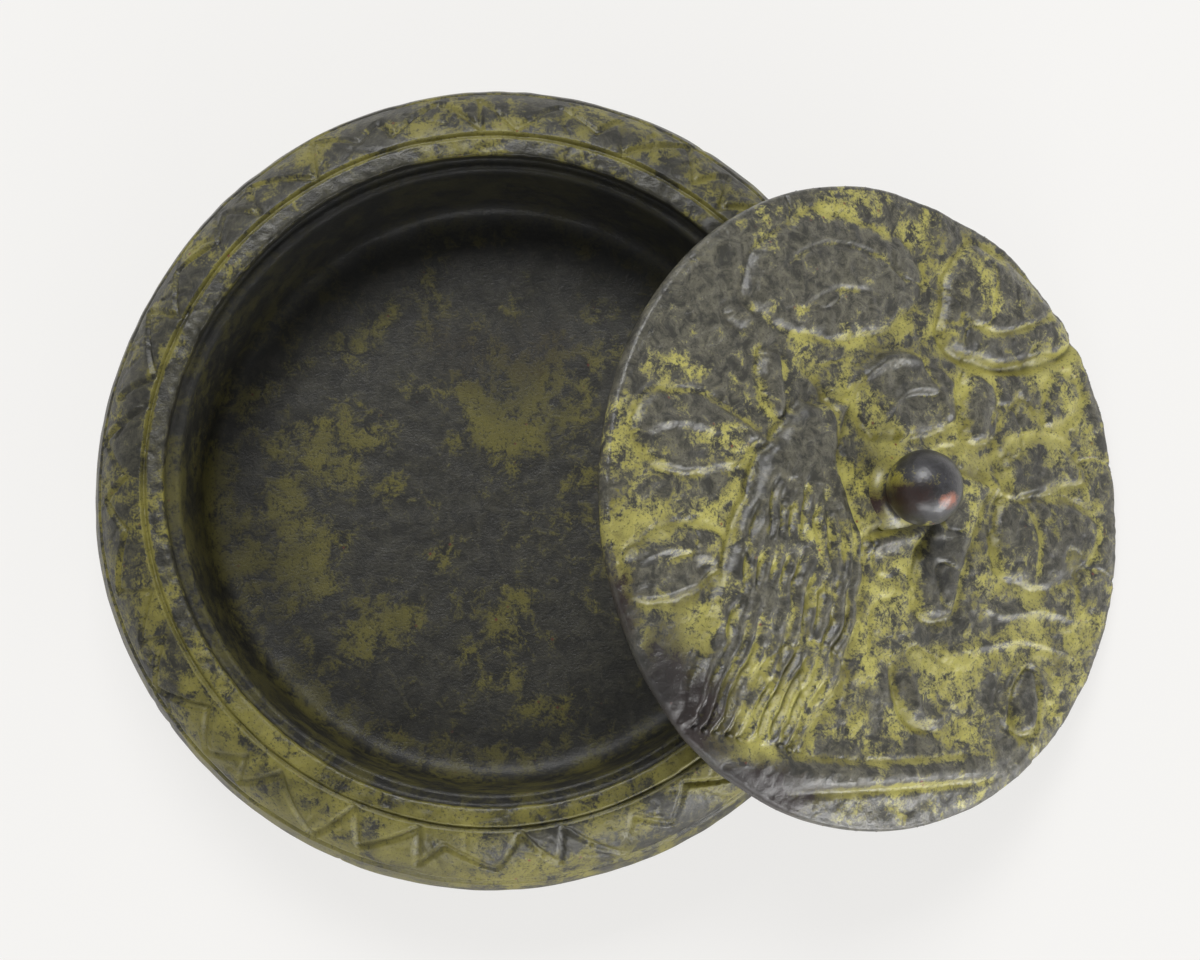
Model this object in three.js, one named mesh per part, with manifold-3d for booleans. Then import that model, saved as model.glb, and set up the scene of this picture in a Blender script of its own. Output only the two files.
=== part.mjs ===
import * as THREE from 'three';
import { mergeVertices } from 'three/addons/utils/BufferGeometryUtils.js';
import Module from 'manifold-3d';

// A small round box of fired clay, finished to look like old bronze.
// The squat bowl stands on the table, and its lid is off: one edge stands on the table
// to the right of the bowl and the underside leans on the bowl's shoulder.
// Millimetres, Z up. The origin is the centre of the bowl's flat base.

// Bowl
const mouthRadius = 43.8;
const lipWidth = 2.5;
const borderWidth = 1.0;
const borderDepth = 0.55;
const shoulderWidth = 7.7;
const bowlHeight = 24.0;
const bellyHeight = 14.6;
const shoulderFullness = 0.8;
const baseInset = 18;
const baseRound = 0.8;
const floorThickness = 4.2;
const floorDish = 0.6;
const floorCorner = 3.5;
const wallDraft = 1.2;
const seatDepth = 2.4;
const seatWidth = 1.6;
const lipRound = 0.4;
const bowlFlat = 0.8;

// Incised band on the shoulder
const teeth = 38;
const bandStart = 0.1;
const bandEnd = 0.58;
const scoreWidth = 0.9;
const scoreDepth = 0.45;
const outerLine = 0.7;

// Lid
const lidClearance = 0.6;
const lidEdge = 2.2;
const lidRound = 0.8;
const lidCrown = 1.1;
const reliefHeight = 1.3;
const cutDepth = 0.7;

// Knob
const ballRadius = 5.05;
const neckRadius = 3.3;
const footRadius = 5.4;
const footHeight = 2.0;
const knobPlace = [0.046, 0.042];
const knobSocket = 0.4;

// The lid's place beside the bowl
const leanAngle = THREE.MathUtils.degToRad(32);
const lidSide = -3.8;
const gap = 0.3;
const tableGap = 0.05;

// How finely the round forms are faceted
const bowlSegments = teeth * 2;
const lidSegments = 60;
const knobSegments = 28;
const socketSegments = 32;
const padSteps = 18;
const ridgeSteps = 8;
const ridgeSides = 6;

// Sizes that follow from the ones above
const lipRadius = mouthRadius + lipWidth;
const shoulderStart = lipRadius + borderWidth;
const bowlRadius = shoulderStart + shoulderWidth;
const baseRadius = bowlRadius - baseInset;
const lidRadius = mouthRadius - lidClearance;

const wasm = await Module();
wasm.setup();

function toSolid(geometry) {
  const bare = geometry.clone();
  bare.deleteAttribute('normal');
  bare.deleteAttribute('uv');
  const merged = mergeVertices(bare, 1e-4);
  return new wasm.Manifold(new wasm.Mesh({
    numProp: 3,
    vertProperties: Float32Array.from(merged.attributes.position.array),
    triVerts: Uint32Array.from(merged.index.array),
  }));
}

function toGeometry(solid) {
  const mesh = solid.getMesh();
  const geometry = new THREE.BufferGeometry();
  geometry.setAttribute('position', new THREE.BufferAttribute(mesh.vertProperties, 3));
  geometry.setIndex(new THREE.BufferAttribute(mesh.triVerts, 1));
  geometry.computeVertexNormals();
  return geometry;
}

function revolve(profile, segments) {
  const points = profile.map(([radius, height]) => new THREE.Vector2(radius, height));
  const geometry = new THREE.LatheGeometry(points, segments);
  geometry.rotateX(Math.PI / 2);
  return geometry;
}

// A grid of points as one closed skin: rows run along the form, columns round it.
function skin(rows, closedLength) {
  const columns = rows[0].length;
  const positions = rows.flat().flatMap((p) => [p.x, p.y, p.z]);
  const index = [];
  const last = closedLength ? rows.length : rows.length - 1;
  for (let i = 0; i < last; i += 1) {
    const j = (i + 1) % rows.length;
    for (let k = 0; k < columns; k += 1) {
      const m = (k + 1) % columns;
      index.push(i * columns + k, j * columns + k, j * columns + m);
      index.push(i * columns + k, j * columns + m, i * columns + m);
    }
  }
  const geometry = new THREE.BufferGeometry();
  geometry.setAttribute('position', new THREE.Float32BufferAttribute(positions, 3));
  geometry.setIndex(index);
  return geometry;
}

// How far a hand-shaped edge stands in or out at an angle, as a share of the radius.
function handShape(angle, swells) {
  let share = 1;
  for (const [centre, width, amount] of swells) {
    const turn = THREE.MathUtils.euclideanModulo(angle - centre + 180, 360) - 180;
    share += amount * Math.exp(-((turn / width) ** 2));
  }
  return share;
}

// Bowl: the shoulder runs from the lip's border line to the belly as one soft curve.
const shoulder = new THREE.QuadraticBezierCurve(
  new THREE.Vector2(shoulderStart, bowlHeight - 0.2),
  new THREE.Vector2(
    THREE.MathUtils.lerp(shoulderStart, bowlRadius, shoulderFullness),
    THREE.MathUtils.lerp(bellyHeight, bowlHeight, 0.75),
  ),
  new THREE.Vector2(bowlRadius, bellyHeight),
);

// Lower side: a full quarter curve from the belly in to the base.
const lowerSide = new THREE.CubicBezierCurve(
  new THREE.Vector2(bowlRadius, bellyHeight),
  new THREE.Vector2(bowlRadius, bellyHeight * 0.45),
  new THREE.Vector2(baseRadius + baseInset * 0.45, baseRound),
  new THREE.Vector2(baseRadius, baseRound * 0.3),
);

function shoulderNormal(t) {
  const along = shoulder.getTangent(t);
  return new THREE.Vector2(-along.y, along.x);
}

// The line scored near the shoulder's outer margin, as three points of the profile.
function scoredLine(t) {
  const half = scoreWidth / 2 / shoulder.getLength();
  const middle = shoulder.getPoint(t).sub(shoulderNormal(t).multiplyScalar(scoreDepth));
  return [shoulder.getPoint(t - half), middle, shoulder.getPoint(t + half)];
}

function bowlProfile() {
  const seatRadius = mouthRadius - seatWidth;
  const seatHeight = bowlHeight - seatDepth;
  const wallFoot = seatRadius - wallDraft;
  const corner = new THREE.QuadraticBezierCurve(
    new THREE.Vector2(wallFoot, floorThickness + floorDish + floorCorner),
    new THREE.Vector2(wallFoot, floorThickness + floorDish),
    new THREE.Vector2(wallFoot - floorCorner, floorThickness + floorDish),
  );
  const inside = [
    [0, floorThickness],
    [wallFoot * 0.5, floorThickness + floorDish * 0.25],
    ...corner.getPoints(3).reverse().map((p) => [p.x, p.y]),
    [seatRadius, seatHeight],
    [mouthRadius, seatHeight],
    [mouthRadius, bowlHeight - lipRound],
    [mouthRadius + lipRound, bowlHeight],
    [lipRadius, bowlHeight],
    [lipRadius + borderWidth / 2, bowlHeight - borderDepth],
  ];
  const lineSteps = scoredLine(outerLine).map((p) => [p.x, p.y]);
  const before = [0, 0.2, 0.4, 0.6].map((t) => shoulder.getPoint(t).toArray());
  const after = [0.8, 0.9, 1].map((t) => shoulder.getPoint(t).toArray());
  const below = lowerSide.getPoints(5).slice(1).map((p) => [p.x, p.y]);
  const base = [[baseRadius - baseRound, 0], [0, 0]];
  return [...inside, ...before, ...lineSteps, ...after, ...below, ...base].reverse();
}

// A zigzag tool path round the shoulder, wide at the surface and sharp at the bottom.
// Above the surface the tool keeps widening, so that it cuts clean through the skin.
function zigzagScore() {
  const steps = 2;
  const toolRise = scoreDepth * 1.5;
  const stations = [];
  for (let k = 0; k < teeth * 2; k += 1) {
    const from = k % 2 ? bandEnd : bandStart;
    const to = k % 2 ? bandStart : bandEnd;
    for (let s = 0; s < steps; s += 1) {
      const share = s / steps;
      stations.push({
        t: THREE.MathUtils.lerp(from, to, share),
        turn: ((k + share) * Math.PI) / teeth,
      });
    }
  }
  const places = stations.map(({ t, turn }) => {
    const flat = shoulder.getPoint(t);
    const out = shoulderNormal(t);
    return {
      point: new THREE.Vector3(flat.x * Math.cos(turn), flat.x * Math.sin(turn), flat.y),
      out: new THREE.Vector3(out.x * Math.cos(turn), out.x * Math.sin(turn), out.y),
    };
  });
  const rows = places.map(({ point, out }, i) => {
    const next = places[(i + 1) % places.length].point;
    const previous = places[(i + places.length - 1) % places.length].point;
    const side = next.clone().sub(previous).cross(out).normalize();
    return [
      point.clone().addScaledVector(out, -scoreDepth),
      point.clone().addScaledVector(side, scoreWidth / 2),
      point.clone().addScaledVector(out, toolRise).addScaledVector(side, scoreWidth),
      point.clone().addScaledVector(out, toolRise).addScaledVector(side, -scoreWidth),
      point.clone().addScaledVector(side, -scoreWidth / 2),
    ];
  });
  return skin(rows, true);
}

// The belly was patted by hand and is a little flat at the upper left: the middle of the
// flat and its half width in degrees.
const bellyFlat = { angle: 150, width: 26 };

function bowlGeometry() {
  const body = toSolid(revolve(bowlProfile(), bowlSegments));
  const geometry = toGeometry(body.subtract(toSolid(zigzagScore())));
  const position = geometry.attributes.position;
  for (let i = 0; i < position.count; i += 1) {
    const radius = Math.hypot(position.getX(i), position.getY(i));
    const angle = THREE.MathUtils.radToDeg(Math.atan2(position.getY(i), position.getX(i)));
    const reach = THREE.MathUtils.smoothstep(radius, lipRadius, bowlRadius);
    const dent = (-bowlFlat / bowlRadius) * reach;
    const share = handShape(angle, [[bellyFlat.angle, bellyFlat.width, dent]]);
    position.setXY(i, position.getX(i) * share, position.getY(i) * share);
  }
  geometry.computeVertexNormals();
  return geometry;
}

// Lid: a thin disc with a flat underside and a low crown.
// Places on its face are shares of its radius, x towards the table edge and y across.
// Its rim is not quite round: angle, half width in degrees, and share of the radius.
const lidSwells = [[8, 12, -0.016], [52, 14, 0.008], [75, 10, -0.014], [228, 20, 0.009]];

function faceHeight(x, y) {
  return lidEdge + lidCrown * (1 - Math.min(1, x * x + y * y));
}

function onFace([x, y], lift = 0) {
  return new THREE.Vector3(x * lidRadius, y * lidRadius, faceHeight(x, y) + lift);
}

function lidDisc() {
  const crown = [0.95, 0.8, 0.5, 0].map((r) => [r * lidRadius, faceHeight(r, 0)]);
  const profile = [
    [0, 0],
    [lidRadius - lidRound * 0.7, 0],
    [lidRadius, lidRound * 0.6],
    [lidRadius, lidEdge - lidRound],
    [lidRadius - lidRound * 0.6, lidEdge - lidRound * 0.2],
    ...crown,
  ];
  const geometry = revolve(profile, lidSegments);
  const position = geometry.attributes.position;
  for (let i = 0; i < position.count; i += 1) {
    const angle = THREE.MathUtils.radToDeg(Math.atan2(position.getY(i), position.getX(i)));
    const share = handShape(angle, lidSwells);
    position.setXY(i, position.getX(i) * share, position.getY(i) * share);
  }
  return geometry;
}

function smoothPath(points, steps, closed = false) {
  const curve = new THREE.CatmullRomCurve3(points.map(([x, y]) => new THREE.Vector3(x, y, 0)), closed);
  const path = curve.getSpacedPoints(steps);
  return (closed ? path.slice(0, -1) : path).map((p) => [p.x, p.y]);
}

// A raised pad with a rounded edge: a leaf, a bough, a stone. It roots in the lid.
// Its section is given as how far out each ring lies and how high, as shares.
const padSection = [[1, 0.35], [0.8, 0.85], [0.4, 1]];

function pad(outline, height) {
  const ring = smoothPath(outline, padSteps, true);
  const middle = [
    ring.reduce((sum, p) => sum + p[0], 0) / ring.length,
    ring.reduce((sum, p) => sum + p[1], 0) / ring.length,
  ];
  const level = (spread, lift) => ring.map(([x, y]) => {
    const place = [
      THREE.MathUtils.lerp(middle[0], x, spread),
      THREE.MathUtils.lerp(middle[1], y, spread),
    ];
    return onFace(place, lift);
  });
  return capped([
    level(1, -cutDepth),
    ...padSection.map(([spread, share]) => level(spread, share * height)),
  ]);
}

// A ridge or a cutter of oval section along a path, thinning to nothing at both ends.
function ridge(path, halfWidth, height) {
  const thinnest = 0.02;
  const line = smoothPath(path, ridgeSteps);
  const rows = line.map((place, i) => {
    const next = line[Math.min(i + 1, line.length - 1)];
    const previous = line[Math.max(i - 1, 0)];
    const heading = new THREE.Vector3(next[0] - previous[0], next[1] - previous[1], 0).normalize();
    const side = new THREE.Vector3(-heading.y, heading.x, 0);
    const fullness = Math.max(thinnest, Math.sqrt(Math.sin((Math.PI * i) / ridgeSteps)));
    return Array.from({ length: ridgeSides }, (_, k) => {
      const turn = (-2 * Math.PI * k) / ridgeSides;
      return onFace(place, height * fullness * Math.sin(turn))
        .addScaledVector(side, halfWidth * fullness * Math.cos(turn));
    });
  });
  return capped(rows);
}

// Closes the two ends of a skin with a point each.
function capped(rows) {
  const pinch = (row) => {
    const centre = row.reduce((sum, p) => sum.add(p), new THREE.Vector3());
    centre.multiplyScalar(1 / row.length);
    return row.map(() => centre.clone());
  };
  return skin([pinch(rows[0]), ...rows, pinch(rows[rows.length - 1])], false);
}

const pads = [
  { name: 'crown of leaves', height: 0.9, outline: [[-0.5, 0.58], [-0.46, 0.74], [-0.24, 0.88],
    [0.04, 0.84], [0.17, 0.7], [0.02, 0.56], [-0.26, 0.5]] },
  { name: 'upper bough', height: 1.0, outline: [[0.24, 0.56], [0.3, 0.78], [0.42, 0.86],
    [0.62, 0.74], [0.79, 0.57], [0.74, 0.54], [0.5, 0.5], [0.32, 0.5]] },
  { name: 'long leaf', height: 0.7, outline: [[-0.9, 0.19], [-0.84, 0.27], [-0.66, 0.28],
    [-0.49, 0.16], [-0.6, 0.09], [-0.8, 0.075]] },
  { name: 'lower leaf', height: 0.65, outline: [[-0.93, -0.2], [-0.8, -0.13], [-0.63, -0.12],
    [-0.62, -0.2], [-0.72, -0.3], [-0.9, -0.31]] },
  { name: 'bud', height: 0.55, outline: [[-0.45, 0.42], [-0.39, 0.43], [-0.375, 0.33],
    [-0.4, 0.25], [-0.445, 0.3]] },
  { name: 'scroll ground', height: 0.7, outline: [[-0.12, 0.32], [-0.04, 0.44], [0.12, 0.47],
    [0.28, 0.4], [0.28, 0.28], [0.12, 0.22], [-0.05, 0.21]] },
  { name: 'lobe', height: 0.7, outline: [[0.33, 0.42], [0.43, 0.41], [0.46, 0.32],
    [0.42, 0.23], [0.34, 0.22], [0.31, 0.32]] },
  { name: 'drooping limb', height: 0.8, outline: [[0.27, 0.1], [0.4, 0.08], [0.36, -0.06],
    [0.29, -0.2], [0.24, -0.34], [0.14, -0.34], [0.12, -0.22], [0.17, -0.06]] },
  { name: 'upper stone', height: 0.5, outline: [[0.5, 0.2], [0.72, 0.23], [0.84, 0.14],
    [0.74, 0.09], [0.54, 0.08]] },
  { name: 'lower stone', height: 0.6, outline: [[0.46, 0.02], [0.7, 0.04], [0.88, 0.0],
    [0.84, -0.14], [0.68, -0.22], [0.48, -0.2]] },
  { name: 'shoot', height: 0.55, outline: [[0.52, -0.56], [0.57, -0.5], [0.61, -0.55],
    [0.6, -0.66], [0.54, -0.7], [0.51, -0.64]] },
];

const ridges = [
  { name: 'rib of the long leaf', width: 0.7, height: 1.1, path: [[-0.88, 0.18], [-0.74, 0.21], [-0.6, 0.18]] },
  { name: 'upper rib of the lower leaf', width: 0.6, height: 1.0, path: [[-0.9, -0.21], [-0.78, -0.17], [-0.62, -0.2]] },
  { name: 'twig', width: 0.8, height: 1.0, path: [[-0.6, 0.24], [-0.5, 0.19], [-0.41, 0.14]] },
  { name: 'outer arc of the scroll', width: 0.8, height: 1.5, path: [[-0.1, 0.24], [-0.12, 0.36],
    [0.0, 0.45], [0.16, 0.46], [0.3, 0.38]] },
  { name: 'inner arc of the scroll', width: 0.75, height: 1.45, path: [[0.26, 0.28], [0.2, 0.37],
    [0.08, 0.36], [0.0, 0.29]] },
  { name: 'bead', width: 0.9, height: 1.4, path: [[0.01, 0.21], [0.055, 0.22], [0.1, 0.225]] },
  { name: 'edge of the slit', width: 0.9, height: 1.0, path: [[-0.09, -0.14], [0.04, -0.1], [0.19, -0.07]] },
  { name: 'arch round the shoot', width: 0.6, height: 1.0, path: [[0.48, -0.66], [0.5, -0.54], [0.57, -0.48],
    [0.63, -0.54], [0.62, -0.7]] },
  { name: 'curled blade', width: 0.7, height: 0.9, path: [[0.08, -0.5], [0.12, -0.62], [0.19, -0.66], [0.25, -0.6]] },
  { name: 'left edge of the trunk', width: 0.7, height: 1.2, path: [[-0.6, -0.2], [-0.65, -0.42], [-0.7, -0.65]] },
  { name: 'ground line', width: 1.0, height: 1.1, path: [[-0.52, -0.79], [-0.25, -0.83], [0.02, -0.83], [0.5, -0.8]] },
];

const cuts = [
  { name: 'slit beside the knob', width: 0.6, depth: 0.8, path: [[-0.09, -0.11], [0.03, -0.06], [0.16, -0.035]] },
  { name: 'curved cut', width: 0.6, depth: 0.7, path: [[0.02, -0.48], [0.04, -0.6], [0.1, -0.68], [0.17, -0.7]] },
  { name: 'line under the ground line', width: 0.6, depth: 0.6, path: [[-0.42, -0.885], [-0.1, -0.875],
    [0.2, -0.86], [0.46, -0.84]] },
  { name: 'line under the upper bough', width: 0.7, depth: 0.7, path: [[0.22, 0.56], [0.3, 0.48],
    [0.5, 0.48], [0.74, 0.53], [0.84, 0.6]] },
];

// The trunk leans down to the left and opens into a sheaf of deep flutes.
const trunk = {
  left: [[-0.27, 0.31], [-0.4, 0.2], [-0.5, 0.05], [-0.58, -0.14], [-0.64, -0.4], [-0.7, -0.66]],
  right: [[-0.17, 0.31], [-0.2, 0.15], [-0.16, 0.0], [-0.1, -0.18], [-0.16, -0.45], [-0.34, -0.74]],
  flutes: 9,
  fluteDepth: 0.45,
  flutesStart: 0.1,
  flutesFull: 0.4,
  endHeight: 0.35,
  topSlope: 6,
  footSlope: 2.5,
  stations: 10,
};

function trunkSkin() {
  const left = smoothPath(trunk.left, trunk.stations);
  const right = smoothPath(trunk.right, trunk.stations);
  const across = trunk.flutes * 2;
  const rows = left.map((from, i) => {
    const to = right[i];
    const along = i / trunk.stations;
    const fromTop = trunk.endHeight + along * trunk.topSlope;
    const fromFoot = trunk.endHeight + (1 - along) * trunk.footSlope;
    const rise = reliefHeight * Math.min(1, fromTop, fromFoot);
    const deepening = THREE.MathUtils.smoothstep(along, trunk.flutesStart, trunk.flutesFull);
    const flute = trunk.fluteDepth * deepening;
    const place = (share) => [
      THREE.MathUtils.lerp(from[0], to[0], share),
      THREE.MathUtils.lerp(from[1], to[1], share),
    ];
    const top = [];
    for (let k = 0; k <= across; k += 1) {
      const share = k / across;
      const arch = Math.sqrt(Math.sin(Math.PI * THREE.MathUtils.clamp(share, 0.04, 0.96)));
      top.push(onFace(place(share), rise * arch - (k % 2 ? 0 : flute)));
    }
    return [onFace(place(0), -cutDepth), ...top, onFace(place(1), -cutDepth)];
  });
  return capped(rows);
}

function lidGeometry() {
  let solid = toSolid(lidDisc());
  for (const { outline, height } of pads) {
    solid = solid.add(toSolid(pad(outline, height)));
  }
  solid = solid.add(toSolid(trunkSkin()));
  for (const { path, width, height } of ridges) {
    solid = solid.add(toSolid(ridge(path, width, height)));
  }
  for (const { path, width, depth } of cuts) {
    solid = solid.subtract(toSolid(ridge(path, width, depth)));
  }
  const seat = onFace(knobPlace, -knobSocket);
  const socket = new THREE.CylinderGeometry(footRadius + gap, footRadius + gap, reliefHeight * 6, socketSegments);
  socket.rotateX(Math.PI / 2);
  socket.translate(seat.x, seat.y, seat.z + reliefHeight * 3);
  return toGeometry(solid.subtract(toSolid(socket)));
}

// Knob: a ball on a short neck that flares out where it is stuck to the lid.
function knobGeometry() {
  const ballHeight = footHeight + Math.sqrt(ballRadius ** 2 - neckRadius ** 2);
  const flare = new THREE.QuadraticBezierCurve(
    new THREE.Vector2(footRadius, knobSocket),
    new THREE.Vector2(neckRadius, knobSocket + 0.2),
    new THREE.Vector2(neckRadius, footHeight),
  );
  const start = Math.asin(neckRadius / ballRadius);
  const ball = [];
  const steps = 9;
  for (let i = 1; i <= steps; i += 1) {
    const turn = start + ((Math.PI - start) * i) / steps;
    ball.push([ballRadius * Math.sin(turn), ballHeight - ballRadius * Math.cos(turn)]);
  }
  ball[ball.length - 1][0] = 0;
  const profile = [[0, 0], [footRadius, 0], ...flare.getPoints(3).map((p) => [p.x, p.y]), ...ball];
  return revolve(profile, knobSegments);
}

// Materials
const clay = (color, roughness, metalness) => (
  new THREE.MeshStandardMaterial({ color, roughness, metalness })
);
const bowlMaterial = clay(0x55553f, 0.55, 0.15);
const lidMaterial = clay(0x6a693f, 0.5, 0.15);
const knobMaterial = clay(0x36302d, 0.35, 0.3);

const bowl = new THREE.Mesh(bowlGeometry(), bowlMaterial);
bowl.name = 'bowl';

const lid = new THREE.Mesh(lidGeometry(), lidMaterial);
lid.name = 'lid';

const knob = new THREE.Mesh(knobGeometry(), knobMaterial);
knob.name = 'knob';
knob.position.copy(onFace(knobPlace, -knobSocket + gap));

// The lid with its knob leans: its lowest edge is on the table, and its underside
// lies a hair off the highest point of the shoulder in its own direction.
function lowestPoint(geometry, angle) {
  const position = geometry.attributes.position;
  let lowest = Infinity;
  for (let i = 0; i < position.count; i += 1) {
    const height = position.getZ(i) * Math.cos(angle) - position.getX(i) * Math.sin(angle);
    lowest = Math.min(lowest, height);
  }
  return lowest;
}

function shoulderReach(angle) {
  const reaches = shoulder.getPoints(40).map((p) => p.x * Math.sin(angle) + p.y * Math.cos(angle));
  return Math.max(...reaches);
}

const lidHeight = tableGap - lowestPoint(lid.geometry, leanAngle);
const lidReach = shoulderReach(leanAngle) + gap - lidHeight * Math.cos(leanAngle);

const lidWithKnob = new THREE.Group();
lidWithKnob.add(lid, knob);
lidWithKnob.rotation.y = leanAngle;
lidWithKnob.position.set(lidReach / Math.sin(leanAngle), lidSide, lidHeight);

const pyxis = new THREE.Group();
pyxis.add(bowl, lidWithKnob);

export default pyxis;
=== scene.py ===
import math

import bpy
import numpy as np
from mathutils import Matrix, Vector


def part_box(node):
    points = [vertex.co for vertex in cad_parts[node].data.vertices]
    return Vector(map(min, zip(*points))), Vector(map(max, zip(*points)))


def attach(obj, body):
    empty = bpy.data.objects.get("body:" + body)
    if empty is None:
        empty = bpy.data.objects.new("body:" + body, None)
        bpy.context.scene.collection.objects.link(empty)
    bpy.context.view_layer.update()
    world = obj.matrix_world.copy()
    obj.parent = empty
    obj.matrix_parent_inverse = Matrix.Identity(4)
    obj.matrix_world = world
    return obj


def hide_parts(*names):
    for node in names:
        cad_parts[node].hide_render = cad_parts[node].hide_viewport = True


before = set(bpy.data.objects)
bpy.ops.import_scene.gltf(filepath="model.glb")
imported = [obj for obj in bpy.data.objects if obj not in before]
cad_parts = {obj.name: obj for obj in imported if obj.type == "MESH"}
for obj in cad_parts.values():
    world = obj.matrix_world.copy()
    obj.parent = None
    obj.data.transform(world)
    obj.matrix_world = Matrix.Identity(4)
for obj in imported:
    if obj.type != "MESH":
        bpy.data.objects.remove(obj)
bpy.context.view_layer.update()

# Bowl. One squat body of fired clay, thrown round and patted a little flat on one side,
# then painted and waxed to pass for old bronze. The border line round the lip and the
# zigzag on the shoulder were scored by hand with a point while the clay was soft.
MM = 0.001
bowl_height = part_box("bowl")[1][2] / MM
belly_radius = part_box("bowl")[1][0] / MM
belly_height = 14.6
mouth_radius = 43.8
lip_width = 2.5
lip_round = 0.5
border_width = 1.0
border_depth = 0.55
border_drop = 0.2
shoulder_start = mouth_radius + lip_width + border_width
base_radius = belly_radius - 18.0
base_round = 0.8
base_lift = 0.24
seat_radius = mouth_radius - 1.6
seat_height = bowl_height - 2.4
wall_foot = seat_radius - 1.2
floor_height = 4.2
floor_edge_height = floor_height + 0.6
floor_corner = 3.5
cap_radius = 0.6
teeth = 38
columns = 950


def bezier(points, steps):
    """Points along a Bezier curve, without its last one."""
    points = [np.array(p, float) for p in points]
    made = []
    for step in range(steps):
        share = step / steps
        row = points
        while len(row) > 1:
            row = [a * (1 - share) + b * share for a, b in zip(row[:-1], row[1:])]
        made.append(row[0])
    return made


def mottle(u, v, cell, seed):
    """Smooth random values from -1 to 1 over a plane, in lumps about one cell wide."""
    tile = 256
    lattice = np.random.default_rng(seed).uniform(-1, 1, (tile, tile))
    whole_u, whole_v = np.floor(u / cell).astype(int), np.floor(v / cell).astype(int)
    part_u, part_v = u / cell - whole_u, v / cell - whole_v
    part_u = part_u**2 * (3 - 2 * part_u)
    part_v = part_v**2 * (3 - 2 * part_v)

    def corner(right, up):
        return lattice[(whole_u + right) % tile, (whole_v + up) % tile]

    near = corner(0, 0) * (1 - part_u) + corner(1, 0) * part_u
    far = corner(0, 1) * (1 - part_u) + corner(1, 1) * part_u
    return near * (1 - part_v) + far * part_v


def way_to(x, y, path):
    """How far each place is from a path, and how far along the path its nearest point is."""
    path = np.asarray(path, float)
    legs = np.diff(path, axis=0)
    lengths = np.hypot(legs[:, 0], legs[:, 1])
    nearest = np.full(x.shape, np.inf)
    along = np.zeros(x.shape)
    passed = 0.0
    for (px, py), (lx, ly), length in zip(path[:-1], legs, lengths):
        share = np.clip(((x - px) * lx + (y - py) * ly) / length**2, 0, 1)
        gap = np.hypot(x - px - share * lx, y - py - share * ly)
        along = np.where(gap < nearest, (passed + share * length) / lengths.sum(), along)
        nearest = np.minimum(nearest, gap)
        passed += length
    return nearest, along


def fade(distance, width):
    """One where the distance is nothing, falling softly away over a width."""
    return np.exp(-((distance / width) ** 2))


def smooth(low, high, value):
    """A soft step from 0 at low to 1 at high. It runs downwards where high is the smaller."""
    share = np.clip((value - low) / (high - low), 0, 1)
    return share * share * (3 - 2 * share)


def scored(distance, half_width, depth):
    """A line drawn with a point in soft clay: a valley, with the clay pushed up beside it."""
    burr_height, burr_place, burr_width = 0.16, 1.35, 0.35
    across = distance / half_width
    valley = -depth * np.clip(1 - across**2, 0, 1) ** 0.7
    return valley + burr_height * depth * fade(across - burr_place, burr_width)


def patch(x, y, places):
    """Soft spots of a mark, such as patina, stain or painted shade: centre, half width, half height and
    strength of each.
    """
    amount = np.zeros(x.shape)
    for px, py, wide, high, strength in places:
        amount = np.maximum(amount, strength * np.exp(-((x - px) / wide) ** 2 - ((y - py) / high) ** 2))
    return amount


def make_piece(name, points, faces, marks):
    """A mesh piece in metres, smooth, with a value at each point for each named mark."""
    mesh = bpy.data.meshes.new(name)
    mesh.from_pydata((np.asarray(points) * MM).tolist(), [], faces)
    for mark, values in marks.items():
        layer = mesh.attributes.new(mark, "FLOAT", "POINT")
        layer.data.foreach_set("value", np.asarray(values, np.float32).ravel())
    mesh.polygons.foreach_set("use_smooth", [True] * len(mesh.polygons))
    mesh.update()
    piece = bpy.data.objects.new(name, mesh)
    bpy.context.scene.collection.objects.link(piece)
    return piece


def turned(rows, count):
    """Faces of a turned body with rows of points round it, closed by a point at each end."""
    index = np.arange(rows * count).reshape(rows, count)
    beside = np.roll(index, -1, axis=1)
    quads = np.stack([index[:-1], index[1:], beside[1:], beside[:-1]], axis=-1)
    first, last = rows * count, rows * count + 1
    caps = [[first, a, b] for a, b in zip(index[0].tolist(), beside[0].tolist())]
    caps += [[last, b, a] for a, b in zip(index[-1].tolist(), beside[-1].tolist())]
    return quads.reshape(-1, 4).tolist() + caps


# The profile runs from the middle of the floor up the wall, over the lip and shoulder and
# under the base. Its corners are radius and height; a pull is a curve's middle point.
floor_middle = (cap_radius, floor_height)
floor_edge = (wall_foot - floor_corner, floor_edge_height)
floor_pull = (wall_foot, floor_edge_height)
wall_low = (wall_foot, floor_edge_height + floor_corner)
seat_inside = (seat_radius, seat_height)
seat_outside = (mouth_radius, seat_height)
lip_low = (mouth_radius, bowl_height - lip_round)
lip_pull = (mouth_radius, bowl_height)
lip_inside = (mouth_radius + lip_round, bowl_height)
lip_outside = (mouth_radius + lip_width, bowl_height)
shoulder_top = (shoulder_start, bowl_height - border_drop)
shoulder_pull = (shoulder_start + 0.8 * (belly_radius - shoulder_start),
                 belly_height + 0.75 * (bowl_height - belly_height))
belly = (belly_radius, belly_height)
belly_pull = (belly_radius, belly_height * 0.45)
side_pull = (base_radius + 8.1, base_round)
side_low = (base_radius, base_lift)
base_pull = (base_radius - 0.1, 0)
base_edge = (base_radius - base_round, 0)
base_middle = (cap_radius, 0)
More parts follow.
